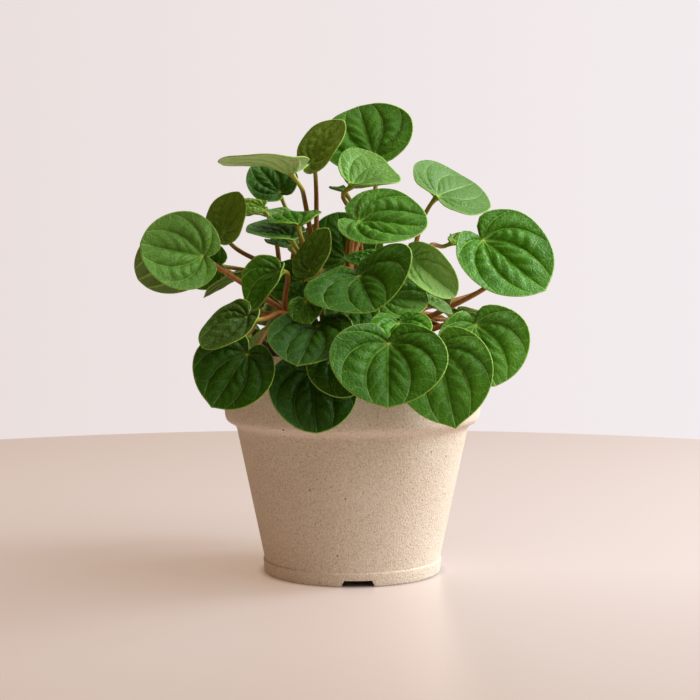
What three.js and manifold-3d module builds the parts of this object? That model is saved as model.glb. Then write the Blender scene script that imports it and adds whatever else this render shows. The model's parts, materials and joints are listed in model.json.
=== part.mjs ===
// A potted peperomia: round heart-shaped leaves on red-brown leafstalks, which rise from a few short
// stems in a tapered plant pot 120 mm across with a deep rolled rim. Millimetres, +Z up, the origin at
// the middle of the pot's underside, the face of the pot that looks along -Y to the front.

import * as THREE from "three";
import { mergeVertices } from "three/addons/utils/BufferGeometryUtils.js";
import Module from "manifold-3d";

const wasm = await Module();
wasm.setup();

// Driving sizes of the pot
const POT_HEIGHT = 103.5;
const RIM_RADIUS = 60;
const NECK_RADIUS = 54.5;
const NECK_HEIGHT = 69;
const FOOT_RADIUS = 41.7;
const FOOT_HEIGHT = 6.3;
const WALL = 2.8;
const FLOOR_TOP = 6;
const CHANNEL_HEIGHT = 3;
const POT_SIDES = 36;

// Drain holes through the floor, and the notches in the foot that let the water out
const DRAIN = { count: 6, radius: 4, ring: 29.5, sides: 10 };
const NOTCH = { count: 3, first: -86.5, topWidth: 12.6, footWidth: 16.2, height: 2.9 };

// Soil, filled to a little below the rim and mounded in the middle
const SOIL_TOP = 100.5;
const SOIL_MOUND = 110;
const CLEAR = 0.35;
const ROOT_DEPTH = 9;

// A blade's mesh: columns that fan out from the leafstalk and bend towards the tip as the veins do,
// and rings from the leafstalk to the margin
const BLADE_THICKNESS = 0.8;
const VEIN_BEND = 0.8;
const VEIN_POWER = 1.7;
const VEIN_COLUMNS = [0, 44, 88, 128, 180];
const HALF_COLUMNS = [22, 44, 66, 88, 108, 128, 148, 168];
const RINGS = [0.55, 1];
const EGG = 0.08;
const BASE_SHARE = 0.22;
const PUFF = 0.8;
const DIMPLE = 1.5;
const DIMPLE_WIDTH = 5;
const FOLD_WIDTH = 3;
const WAVE = 0.7;
const SINUS_WIDTH = 0.42;
const SINUS_RADIUS = 1.6;
const TIP_REACH = 0.05;
const TIP_WIDTH = 0.12;

// Leafstalks and stems
const STALK = { base: 1.4, end: 0.95, sides: 5, steps: 4, gap: 0.3, straight: 5 };
const STEM = { base: 2.6, top: 2.1, sides: 8, steps: 4 };

const COLOURS = {
  pot: { color: 0xc9b08c, roughness: 0.85 },
  soil: { color: 0x2a1c14, roughness: 1 },
  stem: { color: 0x8a4a26, roughness: 0.55 },
  leaf: { color: 0x2f6b1f, roughness: 0.45 },
};

const material = (slot) => new THREE.MeshStandardMaterial({ ...COLOURS[slot], metalness: 0 });
const radians = THREE.MathUtils.degToRad;

// Solids and meshes
function solidOf(geometry) {
  const bare = geometry.index ? geometry.toNonIndexed() : geometry.clone();
  bare.deleteAttribute("normal");
  bare.deleteAttribute("uv");
  const merged = mergeVertices(bare, 1e-4);
  return new wasm.Manifold(
    new wasm.Mesh({
      numProp: 3,
      vertProperties: merged.attributes.position.array,
      triVerts: new Uint32Array(merged.index.array),
    }),
  );
}

function geometryOf(solid) {
  const { numProp, numVert, vertProperties, triVerts } = solid.getMesh();
  const position = new Float32Array(numVert * 3);
  for (let i = 0; i < numVert; i++) {
    position.set(vertProperties.subarray(i * numProp, i * numProp + 3), i * 3);
  }
  const geometry = new THREE.BufferGeometry();
  geometry.setAttribute("position", new THREE.BufferAttribute(position, 3));
  geometry.setIndex(new THREE.BufferAttribute(new Uint32Array(triVerts), 1));
  geometry.computeVertexNormals();
  return geometry;
}

// The largest body of a fused solid: hollows that fusing sealed are filled, loose scraps dropped
function outerBody(solid) {
  return solid.decompose().reduce((largest, body) => (body.volume() > largest.volume() ? body : largest));
}

function lathe(profile) {
  const points = profile.map(([radius, height]) => new THREE.Vector2(radius, height));
  const geometry = new THREE.LatheGeometry(points, POT_SIDES);
  return geometry.rotateX(Math.PI / 2);
}

// The pot
const potInside = [
  [NECK_RADIUS - WALL, NECK_HEIGHT + 1.5],
  [RIM_RADIUS - WALL - 0.4, NECK_HEIGHT + 8],
];

function potSolid() {
  const profile = [
    [0, 0],
    [21, 0],
    [22.5, CHANNEL_HEIGHT],
    [36.5, CHANNEL_HEIGHT],
    [37.2, 0],
    [FOOT_RADIUS - 0.9, 0],
    [FOOT_RADIUS, 0.9],
    [FOOT_RADIUS + 0.3, FOOT_HEIGHT - 0.6],
    [FOOT_RADIUS - 0.3, FOOT_HEIGHT],
    [NECK_RADIUS, NECK_HEIGHT],
    [RIM_RADIUS - 1.7, NECK_HEIGHT + 2.2],
    [RIM_RADIUS - 0.4, NECK_HEIGHT + 3.6],
    [RIM_RADIUS, NECK_HEIGHT + 5.5],
    [RIM_RADIUS, POT_HEIGHT - 1.2],
    [RIM_RADIUS - 1.2, POT_HEIGHT],
    [RIM_RADIUS - WALL + 0.9, POT_HEIGHT],
    [RIM_RADIUS - WALL, POT_HEIGHT - 0.9],
    ...[...potInside].reverse(),
    [FOOT_RADIUS - WALL, FLOOR_TOP + 2],
    [FOOT_RADIUS - WALL - 2, FLOOR_TOP],
    [0, FLOOR_TOP],
  ];
  let pot = solidOf(lathe(profile));
  for (let i = 0; i < DRAIN.count; i++) {
    const turn = radians((360 * (i + 0.5)) / DRAIN.count);
    const hole = new THREE.CylinderGeometry(DRAIN.radius, DRAIN.radius, 3 * FLOOR_TOP, DRAIN.sides);
    hole.rotateX(Math.PI / 2).translate(DRAIN.ring * Math.cos(turn), DRAIN.ring * Math.sin(turn), FLOOR_TOP);
    pot = pot.subtract(solidOf(hole));
  }
  const notchShape = new THREE.Shape([
    new THREE.Vector2(-NOTCH.footWidth / 2, -1),
    new THREE.Vector2(NOTCH.footWidth / 2, -1),
    new THREE.Vector2(NOTCH.topWidth / 2, NOTCH.height),
    new THREE.Vector2(-NOTCH.topWidth / 2, NOTCH.height),
  ]);
  for (let i = 0; i < NOTCH.count; i++) {
    const notch = new THREE.ExtrudeGeometry(notchShape, { depth: 12, bevelEnabled: false });
    notch.rotateX(Math.PI / 2).rotateZ(Math.PI / 2).translate(FOOT_RADIUS - 8, 0, 0);
    notch.rotateZ(radians(NOTCH.first + (360 * i) / NOTCH.count));
    pot = pot.subtract(solidOf(notch));
  }
  return pot;
}

// The soil, with a plain hole for each stem
function soilSolid(stems) {
  const profile = [
    [0, FLOOR_TOP + CLEAR],
    [FOOT_RADIUS - WALL - 2.3, FLOOR_TOP + CLEAR],
    [FOOT_RADIUS - WALL - CLEAR, FLOOR_TOP + 2.3],
    ...potInside.map(([radius, height]) => [radius - CLEAR, height + 0.2]),
    [RIM_RADIUS - WALL - CLEAR - 0.3, SOIL_TOP - 0.8],
    [38, SOIL_TOP + 5.7],
    [18, SOIL_MOUND - 0.8],
    [0, SOIL_MOUND],
  ];
  let soil = solidOf(lathe(profile));
  for (const stem of Object.values(stems)) {
    const radius = STEM.base + CLEAR + 0.6;
    const hole = new THREE.CylinderGeometry(radius, radius, 2 * ROOT_DEPTH, STEM.sides);
    hole.rotateX(Math.PI / 2).translate(stem.foot[0], stem.foot[1], SOIL_MOUND);
    soil = soil.subtract(solidOf(hole));
  }
  return soil;
}

// A leaf's own axes: x from the leafstalk to the tip, y across, z out of the upper side
function leafFrame(leaf) {
  const direction = ([azimuth, elevation]) =>
    new THREE.Vector3(
      Math.cos(radians(elevation)) * Math.cos(radians(azimuth)),
      Math.cos(radians(elevation)) * Math.sin(radians(azimuth)),
      Math.sin(radians(elevation)),
    );
  const face = direction(leaf.face);
  const tip = direction(leaf.tip);
  tip.addScaledVector(face, -tip.dot(face)).normalize();
  const side = new THREE.Vector3().crossVectors(face, tip);
  return new THREE.Matrix4().makeBasis(tip, side, face).setPosition(...leaf.at);
}

// Distance from the leafstalk to the margin: an ellipse, drawn out to a point and cut in behind
function marginRadius(leaf, theta) {
  const a = ((1 - TIP_REACH) * leaf.length) / 2;
  const b = leaf.width / 2;
  const centre = a - BASE_SHARE * leaf.length;
  const cos = Math.cos(theta);
  const sin = Math.sin(theta);
  const square = (cos / a) ** 2 + (sin / b) ** 2;
  const along = (centre * cos) / a ** 2;
  const ellipse = (along + Math.sqrt(along ** 2 - square * ((centre / a) ** 2 - 1))) / square;
  const reach = ellipse + TIP_REACH * leaf.length * Math.exp(-Math.abs(theta) / TIP_WIDTH);
  const notch = 1 - Math.exp(-(((Math.PI - Math.abs(theta)) / SINUS_WIDTH) ** 2));
  return SINUS_RADIUS + (reach - SINUS_RADIUS) * notch;
}

// A point of the upper side: column is an angle at the leafstalk, ring a share of the way to the margin
function bladePoint(leaf, column, ring) {
  const phi = radians(column);
  const theta = phi - VEIN_BEND * ring ** VEIN_POWER * Math.sin(phi);
  const radius = ring * marginRadius(leaf, theta);
  const x = radius * Math.cos(theta);
  const a = ((1 - TIP_REACH) * leaf.length) / 2;
  const centre = a - BASE_SHARE * leaf.length;
  const y = radius * Math.sin(theta) * (1 - EGG * ((x - centre) / a));
  const turn = Math.abs(column);
  const vein = VEIN_COLUMNS.findIndex((stop, i) => turn <= VEIN_COLUMNS[i + 1]);
  const between = (turn - VEIN_COLUMNS[vein]) / (VEIN_COLUMNS[vein + 1] - VEIN_COLUMNS[vein]);
  const puff = PUFF * 4 * between * (1 - between) * 4 * ring * (1 - ring);
  const [cup, droop, fold, funnel = 0] = leaf.shape;
  const dimple = (DIMPLE + funnel) * Math.exp(-((radius / (DIMPLE_WIDTH + funnel)) ** 2));
  const bowl = (cup * radius ** 2) / leaf.length;
  const hang = (droop * Math.max(0, x) ** 2) / leaf.length;
  const crease = fold * (Math.hypot(y, FOLD_WIDTH) - FOLD_WIDTH);
  const wave = WAVE * ring ** 2 * Math.sin(3 * theta + leaf.at[0] + leaf.at[2]);
  return new THREE.Vector3(x, y, puff - dimple + bowl - hang + crease + wave);
}

// The blade as a closed sheet: both faces split into triangles alike
function bladeGeometry(leaf) {
  const frame = leafFrame(leaf);
  const columns = [0, ...HALF_COLUMNS, 180, ...HALF_COLUMNS.map((turn) => -turn).reverse()];
  const upper = [bladePoint(leaf, 0, 0)];
  for (const ring of RINGS) {
    for (const column of columns) upper.push(bladePoint(leaf, column, ring));
  }
  const count = columns.length;
  const faces = [];
  for (let j = 0; j < count; j++) faces.push([0, 1 + j, 1 + ((j + 1) % count)]);
  for (let k = 0; k + 1 < RINGS.length; k++) {
    for (let j = 0; j < count; j++) {
      const inner = [1 + k * count + j, 1 + k * count + ((j + 1) % count)];
      const outer = inner.map((index) => index + count);
      const straight = upper[inner[0]].distanceTo(upper[outer[1]]) < upper[inner[1]].distanceTo(upper[outer[0]]);
      if (straight) faces.push([inner[0], outer[0], outer[1]], [inner[0], outer[1], inner[1]]);
      else faces.push([inner[0], outer[0], inner[1]], [inner[1], outer[0], outer[1]]);
    }
  }
  const sheet = new THREE.BufferGeometry().setFromPoints(upper);
  sheet.setIndex(faces.flat());
  sheet.computeVertexNormals();
  const normal = new THREE.Vector3();
  const lower = upper.map((point, i) =>
    point.clone().addScaledVector(normal.fromBufferAttribute(sheet.attributes.normal, i), -BLADE_THICKNESS),
  );
  const total = upper.length;
  const rim = 1 + (RINGS.length - 1) * count;
  const closed = [...faces, ...faces.map(([p, q, r]) => [p + total, r + total, q + total])];
  for (let j = 0; j < count; j++) {
    const here = rim + j;
    const next = rim + ((j + 1) % count);
    closed.push([here, here + total, next], [next, here + total, next + total]);
  }
  const blade = new THREE.BufferGeometry().setFromPoints([...upper, ...lower]);
  blade.setIndex(closed.flat());
  return blade.applyMatrix4(frame);
}

// A round tube that tapers along a curve, closed at both ends
function tube(curve, radii, sides, steps) {
  const frames = curve.computeFrenetFrames(steps, false);
  const points = [];
  for (let i = 0; i <= steps; i++) {
    const centre = curve.getPointAt(i / steps);
    const radius = radii[0] + (radii[1] - radii[0]) * (i / steps);
    for (let j = 0; j < sides; j++) {
      const turn = (2 * Math.PI * j) / sides;
      points.push(
        centre
          .clone()
          .addScaledVector(frames.normals[i], radius * Math.cos(turn))
          .addScaledVector(frames.binormals[i], radius * Math.sin(turn)),
      );
    }
  }
  const faces = [];
  for (let i = 0; i < steps; i++) {
    for (let j = 0; j < sides; j++) {
      const here = i * sides + j;
      const next = i * sides + ((j + 1) % sides);
      faces.push([here, next, here + sides], [next, next + sides, here + sides]);
    }
  }
  for (let j = 1; j + 1 < sides; j++) {
    faces.push([0, j + 1, j]);
    faces.push([steps * sides, steps * sides + j, steps * sides + j + 1]);
  }
  const geometry = new THREE.BufferGeometry().setFromPoints(points);
  geometry.setIndex(faces.flat());
  return geometry;
}

// Where the leafstalk ends under the blade, and the way it runs there; on a young shoot it grows into it
const isYoung = (leaf) => leaf.stem.startsWith("shoot");

function stalkEnd(leaf) {
  const frame = leafFrame(leaf);
  const rise = new THREE.Vector3(0.55, 0, 0.84).transformDirection(frame);
  const clear = isYoung(leaf) ? 0.3 * BLADE_THICKNESS : BLADE_THICKNESS + STALK.gap + 0.55 * STALK.end;
  const funnel = leaf.shape[3] ?? 0;
  return { point: new THREE.Vector3(-0.3, 0, -DIMPLE - funnel - clear).applyMatrix4(frame), rise };
}

// A leafstalk curves out of its stem and up to its leaf
function stalkCurve(leaf, stem) {
  const { point, rise } = stalkEnd(leaf);
  const { start, along } = stemAt(stem, leaf.from);
  const reach = start.distanceTo(point);
  const out = point.clone().sub(start).normalize().lerp(along, 0.45).normalize();
  const leaving = start.clone().addScaledVector(out, 0.33 * reach);
  const arriving = point.clone().addScaledVector(rise, -0.3 * reach);
  if (!leaf.by) return new THREE.CubicBezierCurve3(start, leaving, arriving, point);
  const near = point.clone().addScaledVector(rise, -STALK.straight);
  return new THREE.CatmullRomCurve3([start, new THREE.Vector3(...leaf.by), near, point]);
}

function stemCurve(stem) {
  const foot = new THREE.Vector3(...stem.foot, SOIL_MOUND - ROOT_DEPTH + CLEAR);
  const top = new THREE.Vector3(...stem.top);
  const upright = new THREE.Vector3(foot.x, foot.y, SOIL_MOUND + 4);
  const lean = upright.clone().lerp(top, 0.4);
  return new THREE.CubicBezierCurve3(foot, upright, lean, top);
}

function stemAt(stem, share) {
  const curve = stemCurve(stem);
  return { start: curve.getPointAt(share), along: curve.getTangentAt(share) };
}

// Stems: where each stands in the soil, and its top
const STEMS = {
  stem_left: { foot: [-20, -14], top: [-30, -22, 122] },
  stem_left_back: { foot: [-12, 4], top: [-16, 2, 136] },
  stem_middle: { foot: [0, -6], top: [-2, -10, 134] },
  stem_right: { foot: [17, -2], top: [22, -6, 122] },
  stem_front: { foot: [-8, -30], top: [-12, -38, 112] },
  stem_front_right: { foot: [20, -24], top: [28, -33, 112] },
  stem_back_left: { foot: [-18, 34], top: [-26, 42, 118] },
  stem_back_right: { foot: [18, 32], top: [26, 40, 120] },
  shoot_left: { foot: [-26, 14], top: [-30, 18, 118] },
  shoot_right: { foot: [4, 16], top: [6, 20, 120] },
};

// Leaves: the stem and how far up it the leafstalk leaves; then, in degrees or millimetres, the point
// where the leafstalk meets the blade, the way the upper side faces and the way the tip points (each
// an azimuth and an elevation), the overall length and width, and the cup, droop and fold of the
// blade, for some with the depth of a funnel at the leafstalk; last, for some, a point that the
// leafstalk passes
const LEAF_ROWS = {
  leaf_01: ["stem_left", 1, [-67.2, -30, 147.8], [-82, 14], [180, 8], [38, 36], [0.25, 0.05, 0.1]],
  leaf_02: ["stem_left", 0.9, [-76, -12, 148.9], [96, 18], [185, -32], [36, 32], [0.2, 0, 0]],
  leaf_03: ["stem_left_back", 0.8, [-60.5, -10, 159], [-128, 21], [11, 58], [27, 26], [0.2, 0, 0]],
  leaf_04: ["stem_left_back", 0.7, [-64, 5, 144], [-100, 10], [185, 0], [26, 24], [0, 0, 0]],
  leaf_05: ["stem_left", 0.8, [-53, -3, 140], [169, 58], [180, -31], [26, 24], [0, 0, 0]],
  leaf_06: ["stem_left_back", 1, [-28, -25, 191.3], [150, 85.3], [183, 2], [44, 40], [0.05, 0, 0, 4], [-22, 5, 172]],
  leaf_07: ["stem_left_back", 0.95, [-35.6, 36, 180.5], [-88, 37], [151, 44], [26, 26], [0.2, 0, 0.05]],
  leaf_08: ["stem_left_back", 1, [-19.5, 2, 193.2], [-137, 35], [-8, 47], [32, 32.5], [0.15, 0, 0.05]],
  leaf_09: ["stem_middle", 1, [9.6, 12, 196.7], [-106, 39], [117, 58], [41, 45], [0.2, 0, 0.05]],
  leaf_10: ["stem_middle", 1, [1.9, -12, 185.7], [-48, 59], [22, 20], [27, 36], [0.35, 0, 0, 4], [-0.2, -5, 166.8]],
  leaf_11: ["stem_middle", 1, [2.7, -35, 164.2], [-85, 48], [-9, -13], [42, 39], [0.2, 0, 0.12]],
  leaf_12: ["stem_left_back", 0.9, [-24.8, -25, 163.8], [-110, 74], [107, 11], [20, 25], [0.1, 0, 0.1]],
  leaf_13: ["stem_left_back", 0.85, [-28.3, -20, 158.1], [-96, 73], [164, 13], [28, 31], [0.2, 0, 0]],
  leaf_14: ["stem_left_back", 0.8, [-28.9, -8, 154.4], [-110, 76], [162, 4], [16, 20], [0.2, 0, 0]],
  leaf_15: ["stem_middle", 0.9, [-3.4, 18, 147.6], [-101, 28], [100, 50], [33, 34], [0.15, 0, 0]],
  leaf_16: ["stem_middle", 0.9, [-20.4, -35, 141.6], [-143, 29], [-1, 59], [28, 26], [0.15, 0, 0.15]],
  leaf_17: ["stem_middle", 0.9, [1.9, -58, 139.9], [-111, 43], [-71, -34], [34, 49], [0, 0, 0.35]],
  leaf_18: ["stem_left", 1, [-33.4, -45, 141.2], [-132, 17], [-170, -50], [27, 22], [0.1, 0, 0.85]],
  leaf_19: ["stem_left_back", 0.5, [-23.9, -14, 136.8], [-104, 24], [178, -6], [22, 22], [0.15, 0, 0]],
  leaf_20: ["stem_left", 0.9, [-45.5, -72, 122.7], [-122, 40], [196, -46], [31, 24], [0.15, 0, 0.2]],
  leaf_21: ["stem_front", 1, [-45.2, -70, 106.2], [-106, 14], [-150, -51], [35, 37], [0.2, 0, 0.1], [-35, -49, 116]],
  leaf_22: ["stem_front", 0.9, [-17.7, -66, 99], [-80, 24], [-89, -91], [40, 38], [0.2, 0, 0], [-18, -61, 114]],
  leaf_23: ["stem_front", 0.9, [-6.1, -72, 106.7], [-85, 26], [-62, -62], [29, 30], [0.15, 0, 0], [-4, -60, 116]],
  leaf_24: ["stem_front", 1, [-15.2, -67, 118.8], [-103, 43], [-112, -43], [35, 37], [0.2, 0, 0.12]],
  leaf_25: ["stem_front", 1, [-20.8, -63.5, 128.7], [-108, 27], [-60, -55], [17, 16], [0.15, 0, 0.1]],
  leaf_26: ["stem_front_right", 1, [15, -80, 111.6], [-90, 28], [-92, -52], [41, 49], [0.1, 0, 0.2]],
  leaf_27: ["stem_front_right", 1, [36.8, -62, 107.7], [-90, 10], [-55, -70], [44, 42], [0.1, 0, 0.2], [32, -51, 116]],
  leaf_28: ["stem_front_right", 1, [54.5, -45, 117.5], [-76, 8], [-46, -65], [38, 43], [0.2, 0, 0.1], [44, -37, 118]],
  leaf_29: ["stem_right", 0.9, [54.5, -30, 113], [-100, 35], [150, 30], [18, 18], [0, 0, 0]],
  leaf_30: ["stem_right", 0.4, [60, -20, 155.6], [-70, 27], [-12, -45], [48, 48], [0.2, 0, 0.12], [69, -2, 140]],
  leaf_31: ["stem_right", 1, [49, 4, 156.5], [-45, 50], [0, -37], [18, 16], [0.15, 0, 0], [36, -1, 152.5]],
  leaf_32: ["stem_right", 0.9, [26.4, -44, 146.4], [-83, 8], [0, -41], [34, 18], [0.05, 0, 1.0], [27, -24, 134]],
  leaf_33: ["stem_right", 0.9, [14.2, -46.2, 129.3], [-84, 44], [-1, -6], [26, 26], [0.15, 0, 0]],
  leaf_34: ["stem_right", 0.8, [33, -24, 129], [-30, 60], [-10, -5], [20, 18], [0, 0, 0]],
  leaf_35: ["stem_front_right", 0.9, [19.8, -60, 120], [-85, 55], [-80, -30], [25, 27], [0.15, 0, 0.1]],
  leaf_36: ["stem_right", 1, [40.6, 0, 177.3], [-41, 51], [56, 9], [44, 41], [0.15, 0, 0.05]],
  leaf_37: ["stem_middle", 0.8, [-0.1, -50, 128.5], [-81, 30], [-100, -40], [24, 25], [0.15, 0, 0.1]],
  leaf_38: ["stem_middle", 0.8, [10, -30, 147], [-90, 70], [180, -5], [20, 21], [0, 0, 0]],
  leaf_39: ["stem_back_right", 1, [82.5, 70, 148], [20, 55], [35, -15], [34, 36], [0.1, 0.1, 0], [67.8, 59, 132.2]],
  leaf_40: ["stem_back_right", 0.9, [24, 75, 142], [75, 45], [70, -35], [44, 44], [0.1, 0.2, 0]],
  leaf_41: ["stem_back_left", 1, [-6, 72, 160], [95, 40], [95, -40], [46, 46], [0.1, 0.2, 0]],
  leaf_42: ["stem_back_left", 1, [-32, 60, 136], [125, 45], [130, -35], [42, 42], [0.1, 0.2, 0]],
  leaf_43: ["stem_back_right", 1, [60, 62, 109], [45, 35], [45, -60], [42, 44], [0, 0.1, 0], [44, 46, 118]],
  leaf_44: ["stem_back_right", 0.9, [14, 86, 105], [80, 30], [80, -60], [44, 46], [0, 0.1, 0], [16, 60, 117]],
  leaf_45: ["stem_back_left", 0.9, [-31.5, 71, 109], [115, 35], [115, -60], [42, 44], [0, 0.1, 0], [-27, 55, 117]],
  leaf_46: ["stem_back_left", 1, [-82, 42, 152], [140, 45], [150, -35], [36, 36], [0.1, 0.1, 0]],
  leaf_47: ["stem_back_left", 0.9, [-58, 57, 110], [135, 30], [135, -55], [34, 34], [0, 0.1, 0], [-45, 45, 119]],
  young_01: ["shoot_left", 1, [-43.4, 10, 172.5], [-100, 50], [182, -12], [17, 13], [0, 0, 0]],
  young_02: ["shoot_left", 1, [-31, 22, 168.5], [-80, 75], [180, 5], [22, 22], [0, 0, 0]],
  young_03: ["shoot_left", 0.9, [-36, 25, 142], [120, 60], [180, -10], [26, 26], [0, 0.1, 0]],
  young_04: ["shoot_left", 0.9, [-8, 34, 136], [90, 60], [100, -10], [24, 24], [0, 0.1, 0]],
  young_05: ["shoot_left", 0.8, [-46, 22, 124], [150, 55], [170, -15], [24, 24], [0, 0.1, 0]],
  young_06: ["shoot_right", 1, [-3.8, 4, 180.8], [-97, 78], [203, 1], [10, 11], [0, 0, 0], [3, 6, 160]],
  young_07: ["shoot_right", 1, [10, 49, 132], [85, 60], [90, -10], [26, 26], [0, 0.1, 0]],
  young_08: ["shoot_right", 0.9, [28, 20, 135], [60, 60], [40, -10], [32, 32], [0, 0.1, 0]],
  young_09: ["shoot_right", 1, [10, 38, 148], [95, 70], [110, 0], [30, 30], [0, 0.1, 0]],
  young_10: ["shoot_right", 0.9, [54, 34, 121], [40, 55], [35, -15], [30, 30], [0, 0.1, 0]],
};

const LEAVES = Object.fromEntries(
  Object.entries(LEAF_ROWS).map(([name, [stem, from, at, face, tip, [length, width], shape, by]]) => [
    name,
    { stem, from, at, face, tip, length, width, shape, by },
  ]),
);

// The part
const part = new THREE.Group();
part.name = "potted_peperomia";

function add(name, geometry, slot) {
  const mesh = new THREE.Mesh(geometry, material(slot));
  mesh.name = name;
  part.add(mesh);
}

add("pot", geometryOf(potSolid()), "pot");
add("soil", geometryOf(soilSolid(STEMS)), "soil");
for (const [name, stem] of Object.entries(STEMS)) {
  let plant = solidOf(tube(stemCurve(stem), [STEM.base, STEM.top], STEM.sides, STEM.steps));
  const leaves = Object.values(LEAVES).filter((leaf) => leaf.stem === name);
  for (const leaf of leaves) {
    plant = plant.add(solidOf(tube(stalkCurve(leaf, stem), [STALK.base, STALK.end], STALK.sides, STALK.steps)));
    if (isYoung(leaf)) plant = plant.add(solidOf(bladeGeometry(leaf)));
  }
  add(name, geometryOf(outerBody(plant)), leaves.some(isYoung) ? "leaf" : "stem");
}
for (const [name, leaf] of Object.entries(LEAVES)) {
  if (!isYoung(leaf)) add(name, bladeGeometry(leaf), "leaf");
}

export default part;
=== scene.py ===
# %% [markdown]
# # A potted peperomia
# The real thing is a small house plant: round, heart-shaped, quilted leaves, each on a red-brown
# leafstalk, in a sandy beige pot with a deep rolled rim. The plain solids are already measured, so
# this lesson keeps their places and sizes and gives each one its real surface. Sizes are written in
# millimetres in the part's own frame, and each piece hides the solid that it stands for.

# %% Load the part
import json
import math

import bpy
import numpy as np
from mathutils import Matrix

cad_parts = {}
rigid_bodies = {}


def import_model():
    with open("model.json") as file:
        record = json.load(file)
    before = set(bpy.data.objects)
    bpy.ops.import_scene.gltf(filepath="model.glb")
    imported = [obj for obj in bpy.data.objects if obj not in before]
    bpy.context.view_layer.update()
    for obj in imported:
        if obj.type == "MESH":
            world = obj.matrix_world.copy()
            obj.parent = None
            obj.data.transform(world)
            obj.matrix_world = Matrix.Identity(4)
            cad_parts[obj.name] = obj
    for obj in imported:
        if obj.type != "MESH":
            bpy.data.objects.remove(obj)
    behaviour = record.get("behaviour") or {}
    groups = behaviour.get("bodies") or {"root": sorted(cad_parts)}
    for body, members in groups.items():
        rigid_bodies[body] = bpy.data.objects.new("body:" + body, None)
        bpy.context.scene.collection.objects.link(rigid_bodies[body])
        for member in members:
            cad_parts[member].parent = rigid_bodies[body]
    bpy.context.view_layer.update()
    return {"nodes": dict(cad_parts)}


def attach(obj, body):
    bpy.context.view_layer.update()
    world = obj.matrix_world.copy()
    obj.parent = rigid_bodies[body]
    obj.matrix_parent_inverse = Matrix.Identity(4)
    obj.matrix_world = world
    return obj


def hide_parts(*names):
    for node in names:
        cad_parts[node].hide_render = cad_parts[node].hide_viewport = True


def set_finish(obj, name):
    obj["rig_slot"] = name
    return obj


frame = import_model()
MM = 0.001
scene = bpy.context.scene

# %% [markdown]
# ## Camera
# The photograph looks at the pot from just above the leaves' middle, almost level, from about 0.7 m.
# A camera is made from the same three facts as the real one: its place, its tilt and its lens. The
# lens comes from the focal length counted in picture widths, which holds for any render size.

# %% Camera
CAMERA_PLACE = (-1.1, -704, 142)
CAMERA_TILT_DOWN = 3.1
FOCAL_PIXELS = 1500
PICTURE_PIXELS = 700
SENSOR = 36

camera_data = bpy.data.cameras.new("camera")
camera_data.sensor_width = SENSOR
camera_data.lens = SENSOR * FOCAL_PIXELS / PICTURE_PIXELS
camera = bpy.data.objects.new("camera", camera_data)
camera.location = [value * MM for value in CAMERA_PLACE]
camera.rotation_euler = (math.radians(90 - CAMERA_TILT_DOWN), 0, 0)
scene.collection.objects.link(camera)
scene.camera = camera
print("lens", round(camera_data.lens, 2), "mm")

# %% [markdown]
# ## Helpers for meshes and materials
# Points and faces become a mesh, with named numbers on its points for the materials to read. A
# material is a small tree of nodes. A few helpers keep such trees short: one adds a node and fills
# its sockets with values or links, and the others stand for the kinds of node that come back.

# %% Helpers
def link_object(name, data):
    piece = bpy.data.objects.new(name, data)
    scene.collection.objects.link(piece)
    return piece


def new_mesh(name, points, faces=(), edges=(), numbers=None):
    """A smooth mesh from points in millimetres, with named numbers on its points."""
    mesh = bpy.data.meshes.new(name)
    mesh.from_pydata((np.array(points) * MM).tolist(), edges, faces)
    for label, values in (numbers or {}).items():
        attribute = mesh.attributes.new(label, "FLOAT", "POINT")
        attribute.data.foreach_set("value", np.asarray(values, np.float32).ravel())
    mesh.shade_smooth()
    return mesh


def settle(piece):
    """Leaves the result of a piece's modifiers there as a plain mesh."""
    made = bpy.data.meshes.new_from_object(piece.evaluated_get(bpy.context.evaluated_depsgraph_get()))
    piece.modifiers.clear()
    piece.data = made


def direction(azimuth, elevation):
    """The unit vector towards an azimuth and an elevation in degrees."""
    a, e = math.radians(azimuth), math.radians(elevation)
    return np.array([math.cos(e) * math.cos(a), math.cos(e) * math.sin(a), math.sin(e)])


def fill(tree, item, inputs):
    """Gives each socket its value or its link. A node stands for its first output."""
    for label, value in inputs.items():
        if isinstance(value, bpy.types.Node):
            value = value.outputs[0]
        if isinstance(value, bpy.types.NodeSocket):
            tree.links.new(value, item.inputs[label])
        else:
            item.inputs[label].default_value = value


def add_node(tree, kind, inputs=None, **settings):
    """Adds a node. A kind that doesn't name its family is of the tree's own family."""
    family = tree.bl_idname.replace("NodeTree", "Node")
    item = tree.nodes.new(kind if "Node" in kind else family + kind)
    for label, value in settings.items():
        setattr(item, label, value)
    fill(tree, item, inputs or {})
    return item


def reckon(tree, operation, *values):
    return add_node(tree, "Math", dict(enumerate(values)), operation=operation)


def times(tree, value, factor):
    return reckon(tree, "MULTIPLY", value, factor)


def stretch(tree, value, near, far, low=0, high=1, **settings):
    """Carries the range from near to far over to the range from low to high."""
    inputs = {"Value": value, "From Min": near, "From Max": far, "To Min": low, "To Max": high}
    return add_node(tree, "MapRange", inputs, **settings)


def ramp_down(tree, value, near, far):
    return stretch(tree, value, near, far, 1, 0, interpolation_type="SMOOTHSTEP")


def noise(tree, place, scale, detail):
    inputs = {"Vector": place, "Scale": scale, "Detail": detail}
    return add_node(tree, "TexNoise", inputs).outputs["Fac"]


def stack(tree, *layers):
    """The sum of height maps, each with its weight."""
    total = 0.0
    for layer, weight in layers:
        total = reckon(tree, "MULTIPLY_ADD", layer, weight, total)
    return total


def blend(tree, share, first, second):
    return add_node(tree, "Mix", {0: share, 6: first, 7: second}, data_type="RGBA").outputs[2]


def colour(red, green, blue):
    """A colour named by its screen values from 0 to 255, turned into light."""
    return [((value / 255 + 0.055) / 1.055) ** 2.4 for value in (red, green, blue)] + [1]


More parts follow.
